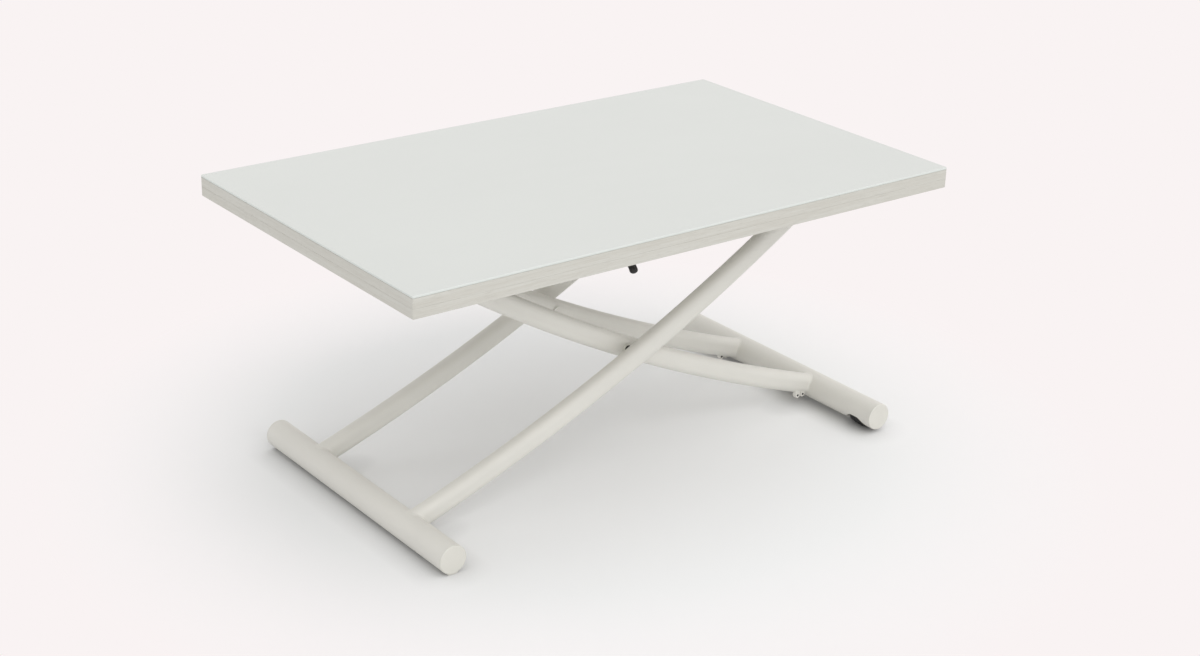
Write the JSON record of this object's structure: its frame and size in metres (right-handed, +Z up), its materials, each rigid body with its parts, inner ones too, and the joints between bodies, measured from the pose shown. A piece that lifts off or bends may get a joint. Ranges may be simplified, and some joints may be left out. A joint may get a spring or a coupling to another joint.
{
  "type": "extending dining table",
  "caption": "Height-adjustable scissor-leg table with a glass-covered fold-out top: curved crossing tube legs lift it, the lower leaf slides and the upper leaf folds open.",
  "frame": {"origin": "on the floor under the middle of the closed top", "axes": "+X along the long side towards the wheeled foot bar, +Y across the table away from the release lever, +Z up"},
  "size_m": [1.1, 0.67, 0.5155],
  "materials": {
    "leg_paint": "matt warm white powder coat",
    "frame_paint": "matt warm white powder coat",
    "white_plastic": "moulded, fine satin",
    "black_plastic": "moulded, satin",
    "black_rubber": "matt",
    "bright_steel": "turned",
    "track_aluminium": "anodised, satin",
    "gas_black": "smooth black",
    "zinc": "die cast, satin",
    "oak_board": "bleached oak laminate, matt",
    "satin_glass": "white-backed satin glass"
  },
  "bodies": {
    "glide_feet": {"glide_cap_front": "white_plastic", "glide_cap_rear": "white_plastic"},
    "outer_frame": {"fixed_foot_bar": "leg_paint", "outer_leg_front": "leg_paint", "outer_leg_rear": "leg_paint", "outer_leg_nose_front": "white_plastic", "outer_leg_nose_rear": "white_plastic", "cross_pin_front": "leg_paint", "cross_pin_rear": "leg_paint", "cross_spacer_front": "black_plastic", "cross_spacer_rear": "black_plastic", "roller_pin_front": "bright_steel", "roller_pin_rear": "bright_steel"},
    "roller_front": {"track_roller_front": "black_plastic"},
    "roller_rear": {"track_roller_rear": "black_plastic"},
    "inner_frame": {"wheel_foot_bar": "leg_paint", "inner_leg_front": "leg_paint", "inner_leg_rear": "leg_paint", "inner_leg_nose_front": "white_plastic", "inner_leg_nose_rear": "white_plastic", "cross_bush_front": "bright_steel", "cross_bush_rear": "bright_steel", "torsion_tube": "leg_paint", "crank_plate_front": "leg_paint", "crank_plate_rear": "leg_paint", "crank_pin": "bright_steel", "hinge_bolt_front": "bright_steel", "hinge_bolt_rear": "bright_steel", "leg_lug_front": "leg_paint", "leg_lug_rear": "leg_paint"},
    "wheel_carriers": {"wheel_carrier_front": "white_plastic", "wheel_carrier_rear": "white_plastic", "wheel_axle_front": "bright_steel", "wheel_axle_rear": "bright_steel"},
    "wheel_front": {"floor_wheel_front": "black_rubber"},
    "wheel_rear": {"floor_wheel_rear": "black_rubber"},
    "top_frame": {"side_rail_front": "frame_paint", "side_rail_rear": "frame_paint", "end_crossbar_left": "frame_paint", "end_crossbar_right": "frame_paint", "slide_track_left": "track_aluminium", "slide_track_right": "track_aluminium", "track_end_caps": "white_plastic", "release_crossbar": "frame_paint", "release_clevis": "frame_paint", "gas_rod": "bright_steel", "lever_bracket": "frame_paint", "lever_pin": "bright_steel"},
    "gas_cylinder": {"gas_cylinder": "gas_black"},
    "release_lever": {"lever_arm": "bright_steel", "lever_grip": "black_plastic"},
    "lower_leaf": {"lower_board": "oak_board", "slide_shoes": "white_plastic", "hinge_plates_lower": "zinc", "hinge_pins": "bright_steel"},
    "upper_leaf": {"upper_board": "oak_board", "glass_top": "satin_glass", "hinge_plates_upper": "zinc"}
  },
  "joints": [
    {"name": "lift", "type": "hinge", "parent": "glide_feet", "child": "outer_frame", "pos_m": [-0.448, 0, 0.0265], "axis": [0, -1, 0], "range_deg": [-15.5, 22]},
    {"name": "scissor", "type": "hinge", "parent": "outer_frame", "child": "inner_frame", "pos_m": [0.0185, 0, 0.222], "axis": [0, -1, 0], "range_deg": [-45, 32]},
    {"name": "top_level", "type": "hinge", "parent": "inner_frame", "child": "top_frame", "pos_m": [-0.3625, 0, 0.4395], "axis": [0, -1, 0], "range_deg": [-16.5, 23]},
    {"name": "carrier_level", "type": "hinge", "parent": "inner_frame", "child": "wheel_carriers", "pos_m": [0.485, 0, 0.031], "axis": [0, -1, 0], "range_deg": [-16.5, 23]},
    {"name": "gas_stroke", "type": "slide", "parent": "top_frame", "child": "gas_cylinder", "axis": [-1, 0, 0], "range_m": [-0.024, 0.034]},
    {"name": "roller_spin_front", "type": "hinge", "parent": "outer_frame", "child": "roller_front", "pos_m": [0.3995, -0.1275, 0.4395], "axis": [0, 1, 0], "continuous": true},
    {"name": "roller_spin_rear", "type": "hinge", "parent": "outer_frame", "child": "roller_rear", "pos_m": [0.3995, 0.1275, 0.4395], "axis": [0, 1, 0], "continuous": true},
    {"name": "wheel_spin_front", "type": "hinge", "parent": "wheel_carriers", "child": "wheel_front", "pos_m": [0.485, -0.241, 0.013], "axis": [0, 1, 0], "continuous": true},
    {"name": "wheel_spin_rear", "type": "hinge", "parent": "wheel_carriers", "child": "wheel_rear", "pos_m": [0.485, 0.241, 0.013], "axis": [0, 1, 0], "continuous": true},
    {"name": "release_pull", "type": "hinge", "parent": "top_frame", "child": "release_lever", "pos_m": [-0.104, -0.075, 0.404], "axis": [-1, 0, 0], "range_deg": [0, 3.5], "stiffness_Nm_per_rad": 8, "springref_deg": -8.59},
    {"name": "leaf_slide", "type": "slide", "parent": "top_frame", "child": "lower_leaf", "axis": [0, -1, 0], "range_m": [0, 0.3325]},
    {"name": "leaf_fold", "type": "hinge", "parent": "lower_leaf", "child": "upper_leaf", "pos_m": [0, 0.3325, 0.49525], "axis": [-1, 0, 0], "range_deg": [0, 180]}
  ],
  "couplings": [
    {"joint": "scissor", "follows": "lift", "ratio": -2},
    {"joint": "top_level", "follows": "lift", "ratio": 1},
    {"joint": "carrier_level", "follows": "lift", "ratio": 1},
    {"joint": "gas_stroke", "follows": "lift", "m_per_rad": 0.0841}
  ]
}
